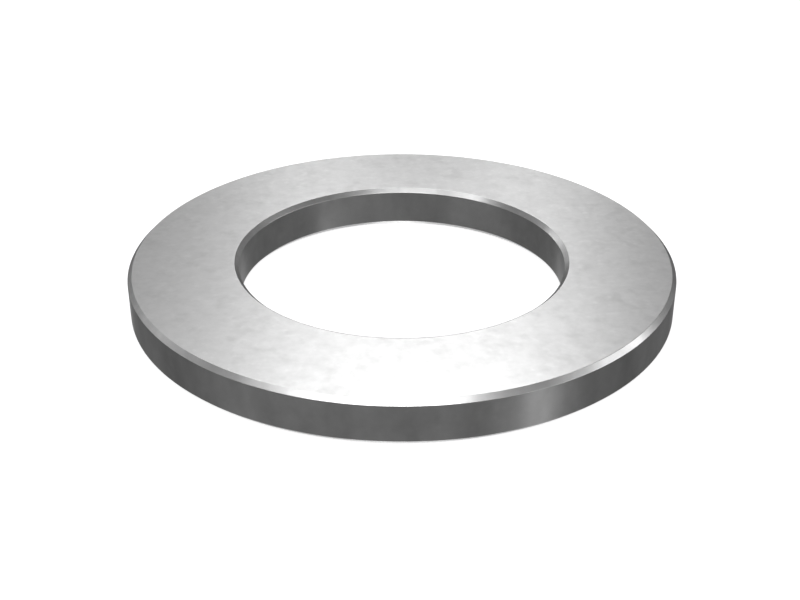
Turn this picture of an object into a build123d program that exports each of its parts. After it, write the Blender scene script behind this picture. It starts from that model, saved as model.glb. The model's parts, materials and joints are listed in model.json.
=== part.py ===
from build123d import *
import os

# Flat washer, turned from steel in one piece: a plain flat ring that goes round a bolt
# and spreads the load of its head or nut. Both flat faces are bearing faces, and all four
# rims, two round the bore and two round the outside, carry the same small chamfer, so the
# washer may be fitted either way up.
#
# Frame: millimetres. The origin is the centre of the bore on the lower bearing face, and
# +Z runs along the bore, towards the upper bearing face.

# Driving dimensions
BORE_DIAMETER = 15.0  # clearance hole for an M14 bolt
OUTER_DIAMETER = 25.0
THICKNESS = 2.0
CHAMFER = 0.2  # leg of each 45 degree chamfer

# The part stands on the lower bearing face, so its cylinders are built up from Z = 0.
ON_LOWER_FACE = (Align.CENTER, Align.CENTER, Align.MIN)


def plain_ring():
    """The blank with sharp rims: a disc with the bore through it."""
    disc = Cylinder(OUTER_DIAMETER / 2, THICKNESS, align=ON_LOWER_FACE)
    bore = Cylinder(BORE_DIAMETER / 2, THICKNESS, align=ON_LOWER_FACE)
    return disc - bore


def washer():
    """The finished washer: the blank with its four round rims chamfered."""
    blank = plain_ring()
    rims = blank.edges().filter_by(GeomType.CIRCLE)
    return chamfer(rims, CHAMFER)


PARTS = {"washer": washer}

os.makedirs("parts", exist_ok=True)
for name, build in PARTS.items():
    export_step(build(), f"parts/{name}.step")
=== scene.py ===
import json
import math

import bmesh
import bpy
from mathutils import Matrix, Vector, noise


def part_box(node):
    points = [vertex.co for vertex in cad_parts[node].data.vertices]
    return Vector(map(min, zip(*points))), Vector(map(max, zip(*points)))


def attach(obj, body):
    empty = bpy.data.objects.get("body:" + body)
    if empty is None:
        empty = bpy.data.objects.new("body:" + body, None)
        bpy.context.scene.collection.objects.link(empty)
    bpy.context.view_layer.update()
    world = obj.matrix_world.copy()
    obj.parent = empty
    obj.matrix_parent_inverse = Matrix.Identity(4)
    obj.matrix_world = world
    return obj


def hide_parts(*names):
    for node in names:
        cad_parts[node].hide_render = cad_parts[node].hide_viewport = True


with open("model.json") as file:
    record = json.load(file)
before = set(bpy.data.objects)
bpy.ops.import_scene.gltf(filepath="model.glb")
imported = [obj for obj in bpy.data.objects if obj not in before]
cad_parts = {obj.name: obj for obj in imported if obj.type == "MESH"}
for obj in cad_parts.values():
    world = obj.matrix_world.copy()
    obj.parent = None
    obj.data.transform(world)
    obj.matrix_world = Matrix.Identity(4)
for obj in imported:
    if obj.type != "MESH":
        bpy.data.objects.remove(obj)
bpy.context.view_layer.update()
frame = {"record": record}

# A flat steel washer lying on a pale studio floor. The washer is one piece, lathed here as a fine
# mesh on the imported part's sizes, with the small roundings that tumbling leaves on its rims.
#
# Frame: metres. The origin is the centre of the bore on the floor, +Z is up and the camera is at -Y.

MM = 0.001
NODE = "washer"

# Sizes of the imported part
LOW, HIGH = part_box(NODE)
BORE = next(m for m in frame["record"]["mounts"] if m["name"] == "bore")["dims"]
OUTER_RADIUS = (HIGH.x - LOW.x) / 2
BORE_RADIUS = BORE["r_mm"] * MM
CHAMFER = (HIGH.z - LOW.z - BORE["length_mm"] * MM) / 2

# Mesh of the washer
SEGMENTS = 720  # round the bore
EDGE_RADIUS = 0.015 * MM  # rounding of the eight edges beside the chamfers
EDGE_WEAR = 0.35  # how much that rounding varies, as a share of it
EDGE_WANDER = 3  # radius of the circle that each rim follows through the noise that varies it
RIM_SPACING = 7.3  # distance between those circles, so that the rims vary apart
BORE_RIM = 6  # the corner of the outline between the upper face and the bore's chamfer
BORE_WEAR = 0.10 * MM  # extra rounding of that rim where it is most worn, at the front
EDGE_STEPS = 4  # faces across each rounding
HOLD = 0.01 * MM  # distance from a rounding to the loop that keeps the face beside it flat
LOOP_GAP = 0.35 * MM  # widest gap between loops on a flat stretch

# Camera. Lengths are in outer radii.
CAMERA_ELEVATION = math.radians(28.5)
CAMERA_DISTANCE = 4.71 * OUTER_RADIUS
AIM = Vector((-0.007, -0.062, 0.0)) * OUTER_RADIUS
SENSOR_WIDTH = 36.0
LENS = 57.0
CLIP_START = 0.1 * OUTER_RADIUS
CLIP_END = 100 * OUTER_RADIUS

# Studio. Azimuth 0 is behind the washer and 90 is to its right; all angles are in degrees.
# Each softbox is (name, azimuth, elevation, width, height, half-width of its soft edge, radiance).
# A flag is one with negative radiance: it takes light away, down to DARKEST.
SOFTBOXES = (
    ("behind", 1, 40, 12, 52, 4, 2.32),
    ("behind_left", -20, 58.5, 46.5, 36, 2, 1.85),
    ("flag_behind", 1, 19, 7, 21, 2.5, -2.3),
    ("overhead", 191, 52.5, 56, 14, 5.5, 7),
    ("overhead_left", -109, 55, 9, 19, 1, 2.7),
    ("flag_overhead", 224, 48, 18, 25, 5.5, -2.2),
    ("zenith", 0, 88, 24, 24, 5, 1.2),
    ("right", 100, 24.5, 60, 18.5, 1, 2.3),
    ("left", -95, 24, 164, 14, 1, 0.55),
    ("left_strip", -44, 18.5, 3.5, 14.5, 1, 3.8),
    ("low_strip", 120.5, -47, 7, 39, 2, 1.0),
    ("low_behind", -2, -46, 42, 34, 2, 0.75),
    ("low_front", 200, -40, 114, 28, 3, 0.07),
    ("low_spot", -1, -73, 10, 16, 2, 2.8),
)

# Radiance of the sky between the softboxes
DARKEST = 0.02
HORIZON = 0.24
ZENITH = 0.12
BELOW = 0.14
HORIZON_BLEND = 0.03  # sine of the elevation, up or down, where BELOW and the sky finish blending
BACKDROP = 1.0  # what the camera sees in place of the sky

# Floor
FLOOR_GLOW = 0.85
FLOOR_TONE = 0.4
FLOOR_RADIUS = 40 * OUTER_RADIUS
FLOOR_SEGMENTS = 128
FLOOR_GAP = 0.01 * MM  # how far the floor lies below the washer, so that the two don't share a plane

# Steel. Each texture is (features per millimetre, octaves of detail, roughness of that detail).
CLOUDS = (1.7, 5.0, 0.65)
STREAKS = (0.5, 3.0, 0.5)
DIMPLES = (1.3, 2.0, 0.5)
# painted glints: small bright specks of painted highlight in the steel's colour
PAINTED_GLINTS = (2.6, 1.0, 0.5)

# Noise values, between 0 and 1, over which a texture goes from its least to its most
SPREAD = (0.3, 0.7)  # clouds and streaks, which go both ways from the middle
DIMPLED = (0.46, 0.28)  # dimples, only in the noise's low places
PAINTED_GLINTING = (0.56, 0.8)  # glints, only in its high places

CLOUD_GLOSS = 0.25  # share of a cloud's tone by which it is also smoother
STREAK_GLOSS = 0.0625  # the same for a streak
CLOUD_HEIGHT = 0.5  # height of a cloud, where a dimple's depth is 1
RELIEF = 0.0006 * MM  # depth of a dimple
WEAR = "wear"  # the mesh attribute that is 1 on the rounded rims
WEAR_TONE = 0.02  # how much lighter the rims are
WEAR_GLOSS = 0.006  # how much smoother they are

# Which surface lies between one corner of the outline and the next
SURFACES = ("chamfer", "face", "chamfer", "wall", "chamfer", "face", "chamfer", "wall")
FINISHES = {"face": 0, "wall": 1, "chamfer": 1, "rim": 1}


# ---------------------------------------------------------------- the washer's mesh

def corners():
    """The outline's eight corners as (radius, height), anticlockwise from the bore's lower end."""
    inner, outer, low, high, c = BORE_RADIUS, OUTER_RADIUS, LOW.z, HIGH.z, CHAMFER
    return [Vector(p) for p in (
        (inner, low + c), (inner + c, low), (outer - c, low), (outer, low + c),
        (outer, high - c), (outer - c, high), (inner + c, high), (inner, high - c),
    )]


def rounding(before, corner, after, radius):
    """Points on the arc that rounds a corner, from the stretch before it to the one after it."""
    back, ahead = (before - corner).normalized(), (after - corner).normalized()
    half = back.angle(ahead) / 2
    centre = corner + (back + ahead).normalized() * radius / math.sin(half)
    start = corner + back * radius / math.tan(half) - centre
    turn = math.pi - 2 * half
    points = []
    for i in range(EDGE_STEPS + 1):
        a = turn * i / EDGE_STEPS
        turned = Vector((start.x * math.cos(a) - start.y * math.sin(a),
                         start.x * math.sin(a) + start.y * math.cos(a)))
        points.append(centre + turned)
    return points


def stretch(start, end, gaps):
    """Points inside a flat stretch: a holding point near each end, and others between them."""
    along = (end - start).normalized() * HOLD
    return [(start + along).lerp(end - along, i / gaps) for i in range(gaps + 1)]


def outline(radii):
    """The closed outline, as (point, the surface that follows it), with each corner rounded."""
    sharp = corners()
    count = len(sharp)
    arcs = [rounding(sharp[i - 1], sharp[i], sharp[(i + 1) % count], radii[i]) for i in range(count)]
    closed = []
    for i, surface in enumerate(SURFACES):
        after = (i + 1) % count
        gaps = math.ceil((sharp[after] - sharp[i]).length / LOOP_GAP)
        closed += [(p, "rim") for p in arcs[i][:-1]]
        closed.append((arcs[i][-1], surface))
        closed += [(p, surface) for p in stretch(arcs[i][-1], arcs[after][0], gaps)]
    return closed


def edge_radius(angle, rim):
    """The rounding of one rim at an angle: it varies on the way round, and the bore's rim is worn more."""
    along, across = EDGE_WANDER * math.cos(angle), EDGE_WANDER * math.sin(angle)
    radius = EDGE_RADIUS * (1 + EDGE_WEAR * noise.noise(Vector((along, across, RIM_SPACING * rim))))
    if rim == BORE_RIM:
        radius += BORE_WEAR * max(0.0, -math.sin(angle))
    return radius


def lathe(name):
    """The washer as one closed mesh, a ring of rounded outlines."""
    made = bmesh.new()
    rings = []
    for i in range(SEGMENTS):
        angle = 2 * math.pi * i / SEGMENTS
        section = outline([edge_radius(angle, rim) for rim in range(len(SURFACES))])
        c, s = math.cos(angle), math.sin(angle)
        rings.append([made.verts.new((p.x * c, p.x * s, p.y)) for p, _ in section])
    surfaces = [surface for _, surface in section]
    for i, ring in enumerate(rings):
        other = rings[(i + 1) % SEGMENTS]
        for j, surface in enumerate(surfaces):
            k = (j + 1) % len(surfaces)
            face = made.faces.new((ring[j], other[j], other[k], ring[k]))
            face.material_index = FINISHES[surface]
            face.smooth = True
    mesh = bpy.data.meshes.new(name)
    made.to_mesh(mesh)
    made.free()
    worn = [float(surface == "rim") for surface in surfaces] * SEGMENTS
    mesh.attributes.new(WEAR, "FLOAT", "POINT").data.foreach_set("value", worn)
    piece = bpy.data.objects.new(name, mesh)
    bpy.context.scene.collection.objects.link(piece)
    return piece


# ---------------------------------------------------------------- node helpers

def add(tree, kind, inputs=None, **settings):
    """Adds a node, sets its properties, and links or sets its inputs by name or number."""
    made = tree.nodes.new(kind)
    for key, value in settings.items():
        setattr(made, key, value)
    for key, value in (inputs or {}).items():
        if isinstance(value, bpy.types.NodeSocket):
            tree.links.new(value, made.inputs[key])
        else:
            made.inputs[key].default_value = value
    return made


def maths(tree, operation, a, b=0.0, c=0.0):
    """The result of a sum on numbers or on other nodes' outputs."""
    return add(tree, "ShaderNodeMath", {0: a, 1: b, 2: c}, operation=operation).outputs[0]


def vector_maths(tree, operation, a, b):
    """The same for vectors: a vector, or the number that a dot product gives."""
    made = add(tree, "ShaderNodeVectorMath", {0: a, 1: b}, operation=operation)
    return made.outputs["Value" if operation == "DOT_PRODUCT" else "Vector"]


def ramp(tree, value, start, end, low, high, smooth=False):
    """value carried from start..end to low..high, and held there outside it."""
    kind = "SMOOTHSTEP" if smooth else "LINEAR"
    inputs = {"Value": value, "From Min": start, "From Max": end, "To Min": low, "To Max": high}
    return add(tree, "ShaderNodeMapRange", inputs, interpolation_type=kind).outputs[0]


def noise_node(tree, vector, scale, detail, roughness):
    """Smooth noise from 0 to 1, mostly near a half."""
    inputs = {"Vector": vector, "Scale": scale, "Detail": detail, "Roughness": roughness}
    return add(tree, "ShaderNodeTexNoise", inputs, noise_dimensions="3D").outputs["Fac"]


# ---------------------------------------------------------------- steel

def in_millimetres(tree):
    """The point on the object, in millimetres, so that a texture's scale is features per millimetre."""
    place = add(tree, "ShaderNodeTexCoord").outputs["Object"]
    return add(tree, "ShaderNodeVectorMath", {0: place, "Scale": 1 / MM}, operation="SCALE").outputs[0]


def steel(name, roughness, tone, clouding, streaking, squeeze):
    """Bare steel: clouded in tone and gloss, with darker dimples, small painted glints and polished rims.
    The glints are a painted highlight: bright specks painted into the colour.

    clouding and streaking are how far the textures change the tone, and the dimples and painted glints go
    by clouding. squeeze draws the streaks out along the axis: 0.4 makes them 2.5 times as tall.
    """
    material = bpy.data.materials.new(name)
    material.use_nodes = True
    tree = material.node_tree
    shader = tree.nodes["Principled BSDF"]
    shader.inputs["Metallic"].default_value = 1.0
    place = in_millimetres(tree)
    upright = vector_maths(tree, "MULTIPLY", place, (1.0, 1.0, squeeze))
    clouds = ramp(tree, noise_node(tree, place, *CLOUDS), *SPREAD, -1.0, 1.0)
    streaks = ramp(tree, noise_node(tree, upright, *STREAKS), *SPREAD, -1.0, 1.0)
    dimples = ramp(tree, noise_node(tree, place, *DIMPLES), *DIMPLED, 0.0, 1.0, True)
    painted_glints = ramp(tree, noise_node(tree, place, *PAINTED_GLINTS), *PAINTED_GLINTING, 0.0, 1.0, True)
    worn = add(tree, "ShaderNodeAttribute", attribute_name=WEAR).outputs["Fac"]

    light = maths(tree, "MULTIPLY_ADD", clouds, clouding, tone)
    light = maths(tree, "MULTIPLY_ADD", streaks, streaking, light)
    light = maths(tree, "MULTIPLY_ADD", dimples, -clouding, light)
    # painted glints: bright specks of painted highlight added to the colour
    light = maths(tree, "MULTIPLY_ADD", painted_glints, clouding, light)
    light = maths(tree, "MULTIPLY_ADD", worn, WEAR_TONE, light)
    tree.links.new(light, shader.inputs["Base Color"])

    rough = maths(tree, "MULTIPLY_ADD", streaks, -streaking * STREAK_GLOSS, roughness)
    rough = maths(tree, "MULTIPLY_ADD", clouds, -clouding * CLOUD_GLOSS, rough)
    rough = maths(tree, "MULTIPLY_ADD", worn, -WEAR_GLOSS, rough)
    tree.links.new(rough, shader.inputs["Roughness"])

    height = maths(tree, "SUBTRACT", maths(tree, "MULTIPLY", clouds, CLOUD_HEIGHT), dimples)
    inputs = {"Height": height, "Distance": RELIEF, "Strength": 1.0}
    tree.links.new(add(tree, "ShaderNodeBump", inputs).outputs[0], shader.inputs["Normal"])
    return material


# ---------------------------------------------------------------- studio

def direction(azimuth, elevation):
    """The unit vector towards a point of the sky."""
    a, e = math.radians(azimuth), math.radians(elevation)
    return Vector((math.sin(a) * math.cos(e), math.cos(a) * math.cos(e), math.sin(e)))


def softbox(tree, looking, azimuth, elevation, width, height, soft, radiance):
    """The light of one softbox in the direction looked in: a soft-edged panel in the sky.

    The far half of the sky is over 90 degrees off the panel's centre, and so outside the panel.
    """
    centre = direction(azimuth, elevation)
    right = direction(azimuth + 90, 0)
    upward = right.cross(centre)
    depth = vector_maths(tree, "DOT_PRODUCT", looking, centre)
    light = radiance
    for axis, size in ((right, width), (upward, height)):
        across = vector_maths(tree, "DOT_PRODUCT", looking, axis)
        off = maths(tree, "ABSOLUTE", maths(tree, "ARCTAN2", across, depth))
        inside, outside = math.radians(size / 2 - soft), math.radians(size / 2 + soft)
        light = maths(tree, "MULTIPLY", ramp(tree, off, inside, outside, 1.0, 0.0, True), light)
    return light


def studio():
    """The light round the washer, as a sky of softboxes. The camera sees a plain pale backdrop."""
    world = bpy.data.worlds.new("studio")
    bpy.context.scene.world = world
    world.use_nodes = True
    tree = world.node_tree
    looking = add(tree, "ShaderNodeTexCoord").outputs["Generated"]
    height = add(tree, "ShaderNodeSeparateXYZ", {0: looking}).outputs["Z"]
    above = ramp(tree, height, 0.0, 1.0, HORIZON, ZENITH)
    share = ramp(tree, height, -HORIZON_BLEND, HORIZON_BLEND, 0.0, 1.0, True)
    light = maths(tree, "MULTIPLY_ADD", maths(tree, "SUBTRACT", above, BELOW), share, BELOW)
    for name, *sizes in SOFTBOXES:
        light = maths(tree, "ADD", light, softbox(tree, looking, *sizes))
    light = maths(tree, "MAXIMUM", light, DARKEST)
    seen = add(tree, "ShaderNodeLightPath").outputs["Is Camera Ray"]
    backdrop = maths(tree, "MULTIPLY_ADD", maths(tree, "SUBTRACT", BACKDROP, light), seen, light)
    tree.links.new(backdrop, tree.nodes["Background"].inputs["Strength"])
    tree.nodes["Background"].inputs["Color"].default_value = (1, 1, 1, 1)


def floor():
    """A pale floor that glows like a light table. The steel reflects the sky below, not the floor."""
    made = bmesh.new()
    bmesh.ops.create_circle(made, cap_ends=True, radius=FLOOR_RADIUS, segments=FLOOR_SEGMENTS)
    mesh = bpy.data.meshes.new("floor")
    made.to_mesh(mesh)
    made.free()
    piece = bpy.data.objects.new("floor", mesh)
    bpy.context.scene.collection.objects.link(piece)
    piece.location.z = LOW.z - FLOOR_GAP
    piece.visible_glossy = False
    piece.visible_shadow = False
    material = bpy.data.materials.new("pale_floor")
    material.use_nodes = True
    shader = material.node_tree.nodes["Principled BSDF"]
    shader.inputs["Base Color"].default_value = (FLOOR_TONE, FLOOR_TONE, FLOOR_TONE, 1)
    shader.inputs["Roughness"].default_value = 1.0
    shader.inputs["Specular IOR Level"].default_value = 0.0
    shader.inputs["Emission Color"].default_value = (1, 1, 1, 1)
    shader.inputs["Emission Strength"].default_value = FLOOR_GLOW
    material.cycles.emission_sampling = "NONE"
    mesh.materials.append(material)


def camera():
    """The camera, raised in front of the washer and looking down at it."""
    data = bpy.data.cameras.new("camera")
    data.sensor_width = SENSOR_WIDTH
    data.lens = LENS
    data.clip_start = CLIP_START
    data.clip_end = CLIP_END
    back = Vector((0, -math.cos(CAMERA_ELEVATION), math.sin(CAMERA_ELEVATION)))
    holder = bpy.data.objects.new("camera", data)
    holder.location = AIM + back * CAMERA_DISTANCE
    holder.rotation_euler = (-back).to_track_quat("-Z", "Y").to_euler()
    bpy.context.scene.collection.objects.link(holder)
    bpy.context.scene.camera = holder


# ---------------------------------------------------------------- the scene

washer = lathe("washer_steel")
# Roughness stays above 0.274 on all of it, streaks and rims included. The denoiser doesn't see the
# texture of anything smoother, and leaves specks on it.
washer.data.materials.append(steel(
    "ground_steel", roughness=0.30, tone=0.61, clouding=0.042, streaking=0.01, squeeze=1.0))
washer.data.materials.append(steel(
    "turned_steel", roughness=0.295, tone=0.62, clouding=0.025, streaking=0.11, squeeze=0.4))
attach(washer, "root")
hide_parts(NODE)

floor()
studio()
camera()
bpy.context.scene.view_settings.view_transform = "Standard"
